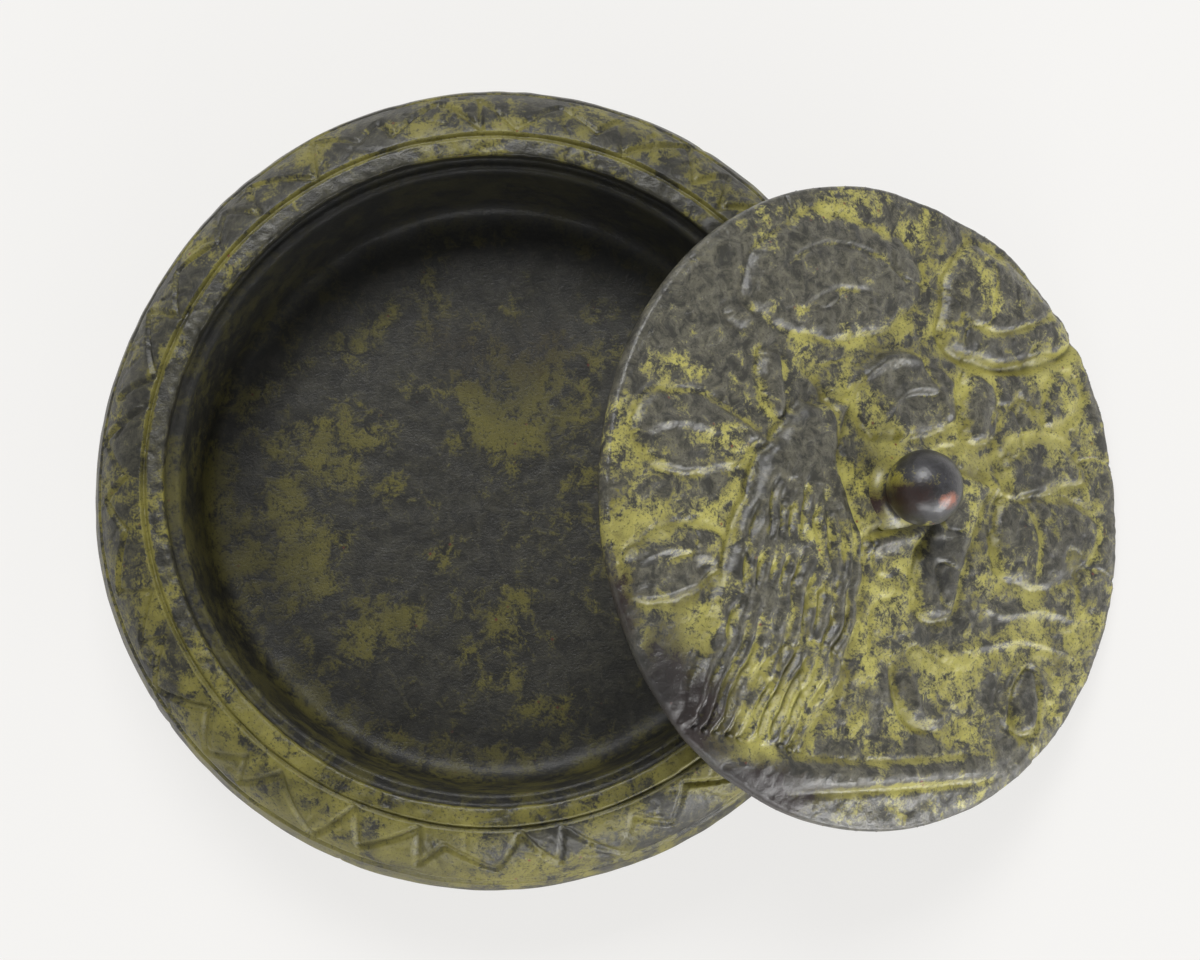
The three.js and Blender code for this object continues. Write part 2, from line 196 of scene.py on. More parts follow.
sections = [
    ("floor", 13, [floor_middle, floor_edge]),
    ("wall", 6, [floor_edge, floor_pull, wall_low]),
    ("wall", 6, [wall_low, seat_inside]),
    ("wall", 3, [seat_inside, seat_outside]),
    ("wall", 3, [seat_outside, lip_low]),
    ("lip", 3, [lip_low, lip_pull, lip_inside]),
    ("lip", 6, [lip_inside, lip_outside]),
    ("border", 5, [lip_outside, shoulder_top]),
    ("shoulder", 42, [shoulder_top, shoulder_pull, belly]),
    ("side", 11, [belly, belly_pull, side_pull, side_low]),
    ("base", 2, [side_low, base_pull, base_edge]),
    ("base", 3, [base_edge, base_middle]),
]
profile = np.array([point for _, rows, corners in sections for point in bezier(corners, rows)])
zone = np.array([name for name, rows, _ in sections for _ in range(rows)])
on_floor, on_wall, on_lip, on_border, on_side, on_base = (
    zone == name for name in ("floor", "wall", "lip", "border", "side", "base"))
on_shoulder = np.flatnonzero(zone == "shoulder")
slope = np.gradient(profile, axis=0)
slope /= np.linalg.norm(slope, axis=1)[:, None]
outward = np.stack([-slope[:, 1], slope[:, 0]], axis=1)
turn = np.linspace(0, 2 * math.pi, columns, endpoint=False)
radius = np.repeat(profile[:, :1], columns, axis=1)
height = np.repeat(profile[:, 1:], columns, axis=1)
flat_x, flat_y = radius * np.cos(turn), radius * np.sin(turn)

# The zigzag is laid out on the shoulder as it lies flat: round the bowl, and out from the
# border. Its teeth and the scratches beside them reach to shares of the shoulder's length.
hand = np.random.default_rng(11)
tooth_inside, tooth_outside = 0.09, 0.54
slip_sideways, slip_outwards = 0.3, 0.11
tooth_half_width, tooth_depths, tooth_patina = 0.46, (0.3, 0.55), 0.6
scratches_per_tooth = 5
scratch_inside, scratch_outside = 0.04, 0.62
scratch_slant, least_scratch = 1.6, 0.3
scratch_half_width, scratch_depths, scratch_patina, scratch_cover = 0.3, (0.08, 0.2), 0.35, 0.45
outer_line, outer_waver = 0.7, 0.25
outer_half_width, outer_depth, outer_patina, outer_cover = 0.5, 0.4, 0.55, 0.9
mean_radius = (shoulder_start + belly_radius) / 2
tooth_step = 2 * math.pi * mean_radius / teeth
whole_turn = teeth * tooth_step
walk = np.concatenate([[0], np.cumsum(np.linalg.norm(np.diff(profile[on_shoulder], axis=0), axis=1))])
shoulder_length = walk[-1]
across = np.repeat(walk[:, None], columns, axis=1)
round_about = np.repeat((turn * mean_radius)[None, :], len(on_shoulder), axis=0)
corners = []
for k in range(teeth * 2 + 1):
    reach = tooth_outside if k % 2 else tooth_inside
    sideways = hand.uniform(-slip_sideways, slip_sideways) * tooth_step
    outwards = (reach + hand.uniform(-slip_outwards, slip_outwards)) * shoulder_length
    corners.append(((k / 2) * tooth_step + sideways, outwards))
corners[-1] = (corners[0][0] + whole_turn, corners[0][1])
relief = np.zeros_like(across)
in_score = np.zeros_like(across)
for start, end in zip(corners[:-1], corners[1:]):
    pressed = hand.uniform(*tooth_depths)
    for shift in (0, whole_turn, -whole_turn):
        gap, _ = way_to(round_about, across, [(start[0] + shift, start[1]), (end[0] + shift, end[1])])
        line = scored(gap, tooth_half_width, pressed)
        relief = np.where(np.abs(line) > np.abs(relief), line, relief)
        in_score = np.maximum(in_score, fade(gap, tooth_patina))
for _ in range(teeth * scratches_per_tooth):
    middle = hand.uniform(0, whole_turn)
    low, high = np.sort(hand.uniform(scratch_inside, scratch_outside, 2)) * shoulder_length
    slant = hand.uniform(-scratch_slant, scratch_slant)
    gap, _ = way_to(round_about, across, [(middle - slant, low), (middle + slant, high + least_scratch)])
    relief += scored(gap, scratch_half_width, hand.uniform(*scratch_depths))
    in_score = np.maximum(in_score, scratch_cover * fade(gap, scratch_patina))
waver = outer_waver * mottle(round_about, across * 0, cell=9.0, seed=5)
from_outer_line = across - (outer_line * shoulder_length + waver)
relief += scored(np.abs(from_outer_line), outer_half_width, outer_depth)
in_score = np.maximum(in_score, outer_cover * fade(from_outer_line, outer_patina))

# The skin stands in or out from the profile: small and broad lumps, creases on the outside,
# the scored lines, and one side patted flat. The base stays true, so that the bowl stands.
small_lump, broad_lump, crease_depth, crease_width, lip_lump = 0.06, 0.16, 0.12, 0.07, 0.07
pat_depth, pat_bearing, pat_width = 0.8, 150, 26
offset = (small_lump * mottle(flat_x, flat_y, cell=2.2, seed=1)
          + broad_lump * mottle(flat_x, flat_y, cell=14.0, seed=2))
creased = (fade(mottle(flat_x, flat_y, cell=6.0, seed=6), crease_width)
           * (mottle(flat_x, flat_y, cell=9.0, seed=7) > 0))
offset -= crease_depth * creased * (radius > mouth_radius)
offset[on_shoulder] += relief
border_share = np.linspace(0, 1, on_border.sum())[:, None]
offset[on_border] -= border_depth * np.sin(math.pi * border_share) ** 0.7 * (
    1 + 0.25 * mottle(flat_x[on_border], flat_y[on_border], cell=3.0, seed=3))
offset[on_lip] += lip_lump * mottle(flat_x[on_lip], flat_y[on_lip], cell=0.8, seed=4)
offset[on_base] = 0
patted = smooth(mouth_radius + lip_width, belly_radius, radius)
flat_share = 1 - (pat_depth / belly_radius) * patted * fade(np.degrees(turn) - pat_bearing, pat_width)
shaped = (radius + offset * outward[:, :1]) * flat_share
bowl_points = np.stack([shaped * np.cos(turn), shaped * np.sin(turn), height + offset * outward[:, 1:]],
                       axis=-1)
bowl_points = np.concatenate([bowl_points.reshape(-1, 3), [[0, 0, floor_height], [0, 0, 0]]])

# Patina, as shares of full cover: olive yellow settles in the scored lines, in the border
# and towards the front, and in blurred clouds on the floor. The inside carries painted shade,
# darkest on the wall, at the floor's edge and towards the back. The high places are rubbed to graphite.
cloud = (mottle(flat_x, flat_y, cell=9.0, seed=21) * 0.6
         + mottle(flat_x, flat_y, cell=3.5, seed=22) * 0.4)
towards_front = smooth(-0.2, -0.95, flat_y / np.maximum(radius, 1))
olive = 0.3 + 0.3 * cloud
olive[on_shoulder] += 0.38 * in_score * (0.7 + 0.8 * cloud[on_shoulder])
olive[on_shoulder] += 0.4 * towards_front[on_shoulder] * (0.7 + 0.6 * cloud[on_shoulder])
olive[on_border] = 0.82 + 0.18 * cloud[on_border]
olive[on_lip] = 0.25 + 0.3 * cloud[on_lip] + 0.45 * towards_front[on_lip]
olive[on_wall] = 0.5 + 0.3 * cloud[on_wall]
floor_spots = patch(flat_x[on_floor], flat_y[on_floor], [
    (-26, 4, 13, 10, 0.7), (2, 12, 12, 9, 0.68), (-12, -18, 14, 7, 0.55), (16, -6, 9, 10, 0.45),
    (-30, -14, 9, 11, 0.6), (18, 22, 10, 7, 0.4), (-16, 24, 12, 7, 0.4), (4, -27, 14, 6, 0.4)])
olive[on_floor] = 0.1 + floor_spots * (0.85 + 0.4 * cloud[on_floor]) + 0.15 * cloud[on_floor]
olive[on_side] = 0.3 + 0.25 * cloud[on_side]
brown = 0.05 + 0.2 * mottle(flat_x, flat_y, cell=12.0, seed=23)
brown[on_floor] += patch(flat_x[on_floor], flat_y[on_floor], [(2, 20, 14, 9, 0.5)])
# The shade mark here is painted shade: it darkens the whole inside, the floor more at its edge and towards
# the back, and the wall more towards the back.
shade = np.zeros_like(olive)
shade[on_floor] = 0.38 + 0.35 * smooth(26, 39, radius[on_floor]) + 0.15 * smooth(10, 38, flat_y[on_floor])
shade[on_wall] = 0.62 + 0.3 * smooth(0, 36, flat_y[on_wall])
bowl_marks = {
    "olive": np.concatenate([olive.ravel(), [0.3, 0.3]]),
    "brown": np.concatenate([brown.ravel(), [0.2, 0.2]]),
    "shade": np.concatenate([shade.ravel(), [0.55, 0.0]]),
}
bowl = make_piece("bowl_turned_body", bowl_points, turned(len(profile), columns), bowl_marks)


def linear(code):
    """An sRGB hex colour as the linear values that a shader takes."""
    values = [int(code[i:i + 2], 16) / 255 for i in (1, 3, 5)]
    return [v / 12.92 if v <= 0.04045 else ((v + 0.055) / 1.055) ** 2.4 for v in values] + [1.0]


def add_node(tree, kind, inputs=None, **settings):
    """Adds one node with its settings, and a value or a link for each input that is named."""
    made = tree.nodes.new(kind)
    for name, value in settings.items():
        setattr(made, name, value)
    for name, value in (inputs or {}).items():
        if isinstance(value, bpy.types.NodeSocket):
            tree.links.new(value, made.inputs[name])
        else:
            made.inputs[name].default_value = value
    return made


def waxed_bronzed_clay(name, graphite, olives, stain, grain_bump, daub_bump, wax, copper=None):
    """Fired clay under a painted bronze finish and wax. It gives the eye dark graphite where
    it is rubbed, olive yellow in the hollows, and a gloss that breaks up on a pitted skin."""
    material = bpy.data.materials.new(name)
    material.use_nodes = True
    tree = material.node_tree
    tree.nodes.clear()

    # Patterns: blotches, daubs of the brush, grain of the clay and scratches, each with its
    # size in mm, detail, roughness and distortion. The grain is drawn coarser than the real
    # clay's, so that it shows. The flecks are spots of rust.
    place = add_node(tree, "ShaderNodeTexCoord").outputs["Object"]
    brushed = add_node(tree, "ShaderNodeMapping", {
        "Vector": place, "Rotation": (0.0, 0.0, 0.6), "Scale": (1.0, 9.0, 1.0)}).outputs["Vector"]
    blotch, daub, grain, scratch = (
        add_node(tree, "ShaderNodeTexNoise", {
            "Vector": where, "Scale": 1 / (size * MM), "Detail": detail, "Roughness": roughness,
            "Distortion": distortion}).outputs["Fac"]
        for where, size, detail, roughness, distortion in (
            (place, 5.5, 5.0, 0.6, 0.0),
            (place, 2.0, 6.0, 0.7, 0.6),
            (place, 0.35, 4.0, 0.65, 0.0),
            (brushed, 4.0, 6.0, 0.7, 0.0)))
    fleck_size = 2.2
    fleck = add_node(tree, "ShaderNodeTexVoronoi", {
        "Vector": place, "Scale": 1 / (fleck_size * MM)}).outputs["Distance"]
    olive, brown, shade = (
        add_node(tree, "ShaderNodeAttribute", attribute_name=mark).outputs["Fac"]
        for mark in ("olive", "brown", "shade"))

    # The marks are broken up at three scales, so that no patch of paint has a clean edge.
    swings = [
        add_node(tree, "ShaderNodeMapRange", {
            "Value": pattern, "From Min": 0.3, "From Max": 0.7, "To Min": -swing, "To Max": swing},
            clamp=False).outputs["Result"]
        for pattern, swing in ((blotch, 0.34), (daub, 0.4), (grain, 0.2))]
    broken = add_node(tree, "ShaderNodeMath", {0: swings[0], 1: swings[1]}, operation="ADD")
    broken = add_node(tree, "ShaderNodeMath", {0: broken.outputs["Value"], 1: swings[2]}, operation="ADD")
    broken = broken.outputs["Value"]
    uneven = add_node(tree, "ShaderNodeMath", {0: broken, 1: 1.0}, operation="ADD").outputs["Value"]
    olive_spots = add_node(tree, "ShaderNodeMath", {0: olive, 1: broken}, operation="ADD").outputs["Value"]
    brown_spots = add_node(tree, "ShaderNodeMath", {0: brown, 1: uneven}, operation="MULTIPLY")

    # Cover of each layer: its pattern, where that starts to show, and where it covers fully.
    cover = {}
    for label, pattern, starts, full in (
            ("pale graphite", daub, 0.4, 0.62),
            ("pale olive", blotch, 0.36, 0.64),
            ("olive", olive_spots, 0.34, 0.68),
            ("brown", brown_spots.outputs["Value"], 0.3, 0.75),
            ("pits", grain, 0.45, 0.36),
            ("flecks", fleck, 0.12, 0.05),
            ("groups of flecks", blotch, 0.55, 0.62)):
        cover[label] = add_node(tree, "ShaderNodeMapRange", {
            "Value": pattern, "From Min": starts, "From Max": full}).outputs["Result"]
    pits, rust = (
        add_node(tree, "ShaderNodeMath", {0: first, 1: second}, operation="MULTIPLY").outputs["Value"]
        for first, second in ((cover["pits"], 0.55), (cover["flecks"], cover["groups of flecks"])))
    rubbed, patina = (
        add_node(tree, "ShaderNodeMix", {0: share, 6: linear(dark), 7: linear(pale)},
                 data_type="RGBA").outputs[2]
        for share, (dark, pale) in ((cover["pale graphite"], graphite), (cover["pale olive"], olives)))
    layers = [(cover["olive"], patina), (cover["brown"], linear(stain)), (pits, linear("#11100d")),
              (rust, linear("#6b3020"))]
    if copper:
        worn_bare = add_node(tree, "ShaderNodeAttribute", attribute_name="copper").outputs["Fac"]
        copper_spots = add_node(tree, "ShaderNodeMath", {0: worn_bare, 1: uneven}, operation="MULTIPLY")
        rubbed_through = add_node(tree, "ShaderNodeMapRange", {
            "Value": copper_spots.outputs["Value"], "From Min": 0.35, "From Max": 0.8})
        layers.append((rubbed_through.outputs["Result"], linear(copper)))
    # The shade mark darkens towards near black: painted shade inside the bowl and in the lid's grooves, and
    # the lid's dark paint.
    layers.append((shade, linear("#0b0b08")))
    colour = rubbed
    for share, layer in layers:
        colour = add_node(tree, "ShaderNodeMix", {0: share, 6: colour, 7: layer},
                          data_type="RGBA").outputs[2]

    # The skin: each pattern's strength, and its height in mm.
    skin = {}
    for pattern, strength, rise in (
            (grain, grain_bump, 0.12), (daub, daub_bump, 0.35), (scratch, 0.12, 0.15)):
        bump = add_node(tree, "ShaderNodeBump", {
            "Height": pattern, "Strength": strength, "Distance": rise * MM, **skin})
        skin = {"Normal": bump.outputs["Normal"]}
    polish = add_node(tree, "ShaderNodeMapRange", {
        "Value": blotch, "From Min": 0.3, "From Max": 0.7, "To Min": 0.34, "To Max": 0.55})
    dull = add_node(tree, "ShaderNodeMath", {0: shade, 1: 0.35}, operation="MULTIPLY")
    roughness = add_node(tree, "ShaderNodeMath", {
        0: polish.outputs["Result"], 1: dull.outputs["Value"]}, operation="ADD")
    gloss = add_node(tree, "ShaderNodeBsdfPrincipled", {
        "Base Color": colour,
        "Roughness": roughness.outputs["Value"],
        "Normal": skin["Normal"],
        "Coat Normal": skin["Normal"],
        "IOR": 1.45,
        "Coat Weight": wax,
        "Coat Roughness": 0.13,
    })
    add_node(tree, "ShaderNodeOutputMaterial", {"Surface": gloss.outputs["BSDF"]})
    return material


bowl.data.materials.append(waxed_bronzed_clay(
    "waxed_bronzed_clay_bowl", graphite=("#222119", "#464437"), olives=("#4f4b22", "#777133"),
    stain="#2c211a", grain_bump=0.5, daub_bump=0.22, wax=0.15))
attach(bowl, "bowl")
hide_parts("bowl")

# Knob. A ball on a short neck that flares where it is stuck to the lid, all of one piece
# of clay. The hand has rubbed the ball to a dark gloss with coppery wear on one side.
lean = math.radians(32)
ball_radius = 5.05
neck_radius = 3.3
foot_radius = 5.4
foot_height = 2.0
foot_spread = 0.5
foot_sink = 0.35
ball_rows = 60
top_gap = 0.03
knob_cap_radius = 0.5
broad_dent, small_dent = 0.012, 0.006
knob_columns = 168
ball_height = foot_height + math.sqrt(ball_radius**2 - neck_radius**2)
knob_low, knob_high = (Vector(corner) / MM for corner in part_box("knob"))
ball_centre = Vector((knob_high.x - ball_radius, (knob_low.y + knob_high.y) / 2, knob_high.z - ball_radius))
downhill = Vector((math.cos(lean), 0, -math.sin(lean)))
upright = Vector((math.sin(lean), 0, math.cos(lean)))
knob_base = ball_centre - upright * ball_height
foot_low = (foot_radius + foot_spread, -foot_sink)
flare = [foot_low, (foot_radius - 0.6, 0.1), (neck_radius, 0.5), (neck_radius, foot_height)]
ball_start = math.asin(neck_radius / ball_radius)
ball = [np.array((ball_radius * math.sin(a), ball_height - ball_radius * math.cos(a)))
        for a in np.linspace(ball_start, math.pi - top_gap, ball_rows)]
knob_profile = np.array(bezier([(knob_cap_radius, -foot_sink), foot_low], 6) + bezier(flare, 16) + ball)[::-1]


def placed(local, origin):
    """Moves points from the lid's own level frame to where they lie on the leaning lid."""
    frame_axes = np.array([downhill, (0.0, 1.0, 0.0), upright])
    return local @ frame_axes + np.array(origin)


knob_turn = np.linspace(0, 2 * math.pi, knob_columns, endpoint=False)
knob_radius = np.repeat(knob_profile[:, :1], knob_columns, axis=1)
knob_height = np.repeat(knob_profile[:, 1:], knob_columns, axis=1)
knob_x, knob_y = knob_radius * np.cos(knob_turn), knob_radius * np.sin(knob_turn)
worn = 1 + (broad_dent * mottle(knob_x + 0.7 * knob_height, knob_y, cell=3.2, seed=31)
            + small_dent * mottle(knob_x, knob_y + knob_height, cell=1.1, seed=32)
            ) * smooth(0, foot_height, knob_height)
knob_local = np.stack([knob_x * worn, knob_y * worn, knob_height], axis=-1).reshape(-1, 3)
ball_top = ball_height + ball_radius * worn[0].mean()
knob_local = np.concatenate([knob_local, [[0, 0, ball_top], [0, 0, -foot_sink]]])
along_x, along_y = knob_local[:, 0], knob_local[:, 1]
on_flare = smooth(foot_height, 0.4, knob_local[:, 2])
knob_marks = {
    "olive": 0.05 + 0.85 * on_flare + patch(along_x, along_y, [(-5.2, 0.0, 1.6, 3.2, 0.35)]),
    "brown": 0.1 + patch(along_x, along_y, [(-4.2, -2.0, 2.6, 2.6, 0.7)]),
    "copper": patch(along_x, along_y, [(0.6, -2.0, 1.9, 1.3, 0.95)]) * (1 - on_flare),
    "shade": np.zeros(len(knob_local)),
}
knob = make_piece("knob_ball", placed(knob_local, knob_base), turned(len(knob_profile), knob_columns),
                  knob_marks)
knob.data.materials.append(waxed_bronzed_clay(
    "rubbed_bronzed_clay_knob", graphite=("#1b1a1b", "#333236"), olives=("#6b662a", "#928b38"),
    stain="#26140f", grain_bump=0.35, daub_bump=0.2, wax=0.6, copper="#8a5038"))
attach(knob, "lid")
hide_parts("knob")

# Lid. A thin disc of clay with a low crown. Its plant relief was modelled by hand and is
# worn: a trunk that opens into a sheaf, leaves, boughs, a scroll and stones over a ground line.
lid_radius = mouth_radius - 0.6
lid_edge = 2.2
lid_crown = 1.1
lid_round = 0.7
knob_place = (0.046 * lid_radius, 0.042 * lid_radius)
seat_lift = 0.1
knob_lift = lid_edge + lid_crown * (1 - (knob_place[0]**2 + knob_place[1]**2) / lid_radius**2) - seat_lift
lid_origin = knob_base - upright * knob_lift - downhill * knob_place[0] - Vector((0, knob_place[1], 0))
cells = 270


def eased(points, steps=36, closed=False):
    """A soft line through points, as a hand would draw it."""
    points = [np.array(p, float) for p in points]
    count = len(points)
    steps_per_leg = max(2, steps // count)
    made = []
    for leg in range(count if closed else count - 1):
        four = [points[(leg + k) % count] if closed else points[min(max(leg + k, 0), count - 1)]
                for k in (-1, 0, 1, 2)]
        for step in range(steps_per_leg):
            t = step / steps_per_leg
            made.append(0.5 * (2 * four[1] + (four[2] - four[0]) * t
                               + (2 * four[0] - 5 * four[1] + 4 * four[2] - four[3]) * t**2
                               + (3 * four[1] - four[0] - 3 * four[2] + four[3]) * t**3))
    if not closed:
        made.append(points[-1])
    return made


def inside_of(x, y, outline):
    """Depth inside a closed outline, negative outside it."""
    outline = np.array(outline)
    nearest, _ = way_to(x, y, np.concatenate([outline, outline[:1]]))
    within = np.zeros(x.shape, bool)
    for (ax, ay), (bx, by) in zip(outline, np.roll(outline, -1, axis=0)):
        crosses = (ay > y) != (by > y)
        with np.errstate(divide="ignore", invalid="ignore"):
            side = x < (bx - ax) * (y - ay) / (by - ay) + ax
        within ^= crosses & side
    return np.where(within, nearest, -nearest)


def rounded(depth, edge):
    """A quarter-round that rises from nothing at a form's outline to one at its edge's width."""
    return np.sqrt(np.clip(1 - (1 - np.clip(depth / edge, 0, 1)) ** 2, 0, 1))


# The raised forms: height, width of the rounded edge, and outline in mm on the lid.
raised = {
    "crown of leaves": (0.95, 8.5, [
        (-22, 25), (-20, 32), (-10.5, 38.2), (2, 36.2), (7.5, 30.5), (1, 24), (-11, 21.5)]),
    "upper bough": (1.3, 5.5, [
        (10, 24), (12.5, 33), (17.5, 37), (26.5, 32.5), (34, 25.5), (31.5, 22.8), (22, 20.8), (14, 21.2)]),
    "long leaf": (0.75, 3.4, [
        (-39, 8), (-36.5, 11.8), (-29, 12.1), (-21, 7.3), (-26, 3.8), (-35, 3.1)]),
    "lower leaf": (0.75, 3.4, [
        (-40, -8.6), (-34.5, -5.4), (-27, -4.8), (-26.5, -8.5), (-31, -13), (-39, -13.6)]),
    "bud": (0.9, 1.4, [(-19.6, 18.4), (-17, 18.9), (-16.1, 14.2), (-17.2, 10.6), (-19.4, 13)]),
    "small oval": (0.55, 1.2, [(-25, 23.2), (-23, 24.4), (-21, 23), (-23, 21.6)]),
    "scroll ground": (0.75, 2.0, [
        (-5.2, 13.6), (-2, 19), (5.2, 20.4), (12.4, 17.2), (12.2, 12), (5.2, 9.3), (-2.4, 8.9)]),
    "lobe": (0.75, 3.0, [(14, 18.4), (18.8, 17.8), (20.2, 13.6), (18.3, 9.8), (14.6, 9.4), (13.2, 13.8)]),
    "drooping limb": (1.25, 2.4, [
        (11.6, 4.4), (17.6, 3.6), (15.6, -2.6), (12.8, -8.6),
        (10.6, -15), (5.8, -15), (5, -9.5), (7.2, -2.6)]),
    "upper stone": (0.45, 2.4, [(21.5, 8.6), (31, 10.2), (36, 6), (32, 3.8), (23, 3.4)]),
    "lower stone": (0.6, 3.4, [
        (19.6, 1), (30, 1.8), (38.2, 0), (36.4, -6.2), (29.2, -9.8), (20.8, -8.8)]),
    "far stone": (0.4, 2.4, [(28.6, 12.4), (33, 13.8), (36.2, 17), (32.6, 19.8), (29.2, 17.2)]),
    "shoot": (0.9, 1.5, [
        (22.3, -24.2), (24.6, -21.4), (26.6, -23.8), (26.2, -28.8), (23.4, -30.4), (21.9, -27.6)]),
}
# The raised lines: half width, height, and path.
ribs = [
    (0.75, 0.55, [(-38, 8), (-32, 9.1), (-26, 7.9)]),
    (0.7, 0.5, [(-38.5, 4.2), (-32, 2.9), (-26, 3.6), (-20.5, 5.4)]),
    (0.6, 0.55, [(-39, -9), (-34, -7.2), (-27, -8.6)]),
    (0.6, 0.45, [(-38.8, -13.8), (-34, -12.8), (-29, -10.8)]),
    (0.9, 0.8, [(-26, 10.4), (-21.6, 8.2), (-17.7, 6)]),
    (0.9, 1.0, [(-4.4, 10.4), (-5.2, 15.4), (0, 19.4), (7, 20), (13, 16.4)]),
    (0.8, 0.9, [(11.2, 12), (8.6, 15.8), (3.6, 15.6), (0.2, 12.4)]),
    (1.2, 0.8, [(1.6, 9.1), (2.6, 9.4), (3.6, 9.6)]),
    (1.1, 1.0, [(-4, -6.2), (1.7, -4.4), (8.2, -3)]),
    (0.65, 0.9, [(20.6, -28.5), (21.6, -23.4), (24.6, -20.6), (27.2, -23.4), (26.8, -30.2)]),
    (0.75, 0.8, [(3.5, -21.6), (5.2, -26.8), (8.2, -28.4), (10.8, -26)]),
    (0.8, 0.9, [(-26, -8.5), (-28.2, -18), (-30.2, -28)]),
    (2.6, 1.6, [(-22.4, -34.0), (-10.8, -35.7), (0.8, -35.8), (12, -35.2), (21.8, -34.5)]),
    (0.6, 0.5, [(18, 5), (22, 2.4), (30, 5)]),
    (0.7, 0.5, [(15.2, -11), (19.5, -14), (27, -13.2), (35, -14.6)]),
    (0.6, 0.4, [(10, -19.6), (17, -18.4), (24, -17.4), (33, -19.2)]),
]
# The cut lines: half width, depth, and path.
cut_lines = [
    (0.8, 1.0, [(-4, -4.8), (1.3, -2.7), (7, -1.5)]),
    (0.7, 0.8, [(0.8, -20.6), (1.8, -25.8), (4.4, -29.2), (8, -30.2)]),
    (0.6, 0.7, [(-18, -38.2), (-4.4, -37.8), (8.6, -37.2), (19.8, -36.2)]),
    (0.7, 0.6, [(-21, -32.7), (-8, -34), (4, -34), (18, -33)]),
    (0.8, 0.9, [(9.5, 24.2), (13, 20.8), (21.6, 19.8), (31.5, 22), (36.4, 26)]),
    (0.6, 0.6, [(12.6, 27), (19, 24.6), (26.5, 26.4), (33, 29.5)]),
    (0.5, 0.45, [(-18, 29), (-10, 34), (-1, 33.5), (5, 29.5)]),
    (0.5, 0.4, [(-14, 24.5), (-8, 28), (0, 28)]),
    (0.6, 0.55, [(-14.4, 18), (-10.5, 14.6), (-8.3, 9), (-7, 2)]),
    (0.6, 0.6, [(17.9, 9), (20.6, 3.6), (19, -2), (18.8, -9)]),
    (0.5, 0.5, [(24, 1.6), (27, -3), (26.4, -9)]),
    (0.5, 0.4, [(21, 13.4), (24.6, 16), (27, 13.4)]),
]
trunk_left = eased([(-14.2, 13.4), (-18, 8), (-21.6, 2), (-25, -6), (-27.4, -16), (-31.5, -29)], 60)
trunk_right = eased([(-6.4, 13.4), (-8.2, 6), (-6.6, -0.6), (-4.3, -8), (-6.5, -19.5), (-14.2, -32.6)], 60)
trunk_height, trunk_edge = 1.9, 3.4
trunk_wear, wear_start, wear_end = 0.62, -2.0, -32.0
flute_count, flute_depth, flute_half_width, flute_run_in = 10, 1.0, 0.5, 0.12
flutes_start, flutes_stagger, stagger_turn = 3.5, 2.5, 2.3

# The face starts as a square grid drawn out to a disc, so that its cells stay even to the rim.
square = np.linspace(-1, 1, cells + 1)
side_a, side_b = np.meshgrid(square, square, indexing="ij")
wide = np.abs(side_a) > np.abs(side_b)
with np.errstate(divide="ignore", invalid="ignore"):
    spoke = np.where(wide, side_a, side_b)
    bearing = np.where(wide, math.pi / 4 * side_b / side_a, math.pi / 2 - math.pi / 4 * side_a / side_b)
bearing = np.nan_to_num(bearing)
disc_x, disc_y = spoke * np.cos(bearing), spoke * np.sin(bearing)

# The rim was cut by hand. It swells or draws in at places given by their bearing and width in
# degrees and their share of the radius.
rim_swells = [(8, 12, -0.016), (52, 14, 0.008), (75, 10, -0.014), (228, 20, 0.009)]
rim_nicks = 0.004
degrees = np.degrees(np.arctan2(disc_y, disc_x))
rim = np.ones(disc_x.shape) - rim_nicks * np.abs(mottle(degrees, 0 * degrees, cell=10.0, seed=51))
for middle, width, amount in rim_swells:
    rim += amount * fade((degrees - middle + 180) % 360 - 180, width)
face_radius = lid_radius - lid_round
lid_x, lid_y = disc_x * face_radius * rim, disc_y * face_radius * rim


def stroke(path, half_width, rise):
    """A line drawn on the lid by hand: full in the middle, and tapered to its ends."""
    gap, along = way_to(lid_x, lid_y, eased(path))
    taper = np.sqrt(np.clip(np.sin(math.pi * np.clip(along, 0.02, 0.98)), 0, 1))
    return rise * taper * fade(gap, half_width)


# The relief is built up and then cut. Its outlines waver, as soft clay does under the thumb.
waver_coarse, waver_fine = 0.6, 0.22
groove_depth, groove_outside, groove_half_width, trunk_groove_half_width = 0.26, 0.4, 0.7, 0.8
tool_depth, tool_half_width = 0.3, 0.08
clear_inside, clear_outside, left_at_knob = 1.2, 1.4, 0.1
edge_drop, edge_drop_start = 0.45, 0.94
loose_x = (lid_x + waver_coarse * mottle(lid_x, lid_y, cell=4.0, seed=44)
           + waver_fine * mottle(lid_x, lid_y, cell=1.6, seed=45))
loose_y = (lid_y + waver_coarse * mottle(lid_x, lid_y, cell=4.0, seed=46)
           + waver_fine * mottle(lid_x, lid_y, cell=1.6, seed=47))
plants = np.zeros_like(lid_x)
grooved_round = np.zeros_like(lid_x)
for rise, edge, outline in raised.values():
    depth_in = inside_of(loose_x, loose_y, eased(outline, 42, closed=True))
    grooved_round = np.maximum(grooved_round, fade(depth_in + groove_outside, groove_half_width))
    plants = np.maximum(plants, rise * rounded(depth_in, edge))
trunk_depth = inside_of(loose_x, loose_y, trunk_left + trunk_right[::-1])
worn_low = 1 - trunk_wear * smooth(wear_start, wear_end, lid_y)
plants = np.maximum(plants, trunk_height * worn_low * rounded(trunk_depth, trunk_edge))
grooved_round = np.maximum(grooved_round, fade(trunk_depth + groove_outside, trunk_groove_half_width))
flutes = np.zeros_like(lid_x)
for k in range(1, flute_count):
    share = k / flute_count
    lane = [a * (1 - share) + b * share for a, b in zip(trunk_left, trunk_right)]
    lane = [p for p in lane if p[1] < flutes_start - flutes_stagger * math.sin(k * stagger_turn)]
    gap, along = way_to(loose_x, lid_y, lane)
    flutes = np.maximum(flutes, fade(gap, flute_half_width) * smooth(0, flute_run_in, along))
flutes *= np.clip(0.65 + 0.6 * mottle(lid_x, lid_y, cell=3.2, seed=71), 0.1, 1)
plants -= flute_depth * flutes
for half_width, rise, path in ribs:
    plants += stroke(path, half_width, rise)
cuts = np.zeros_like(lid_x)
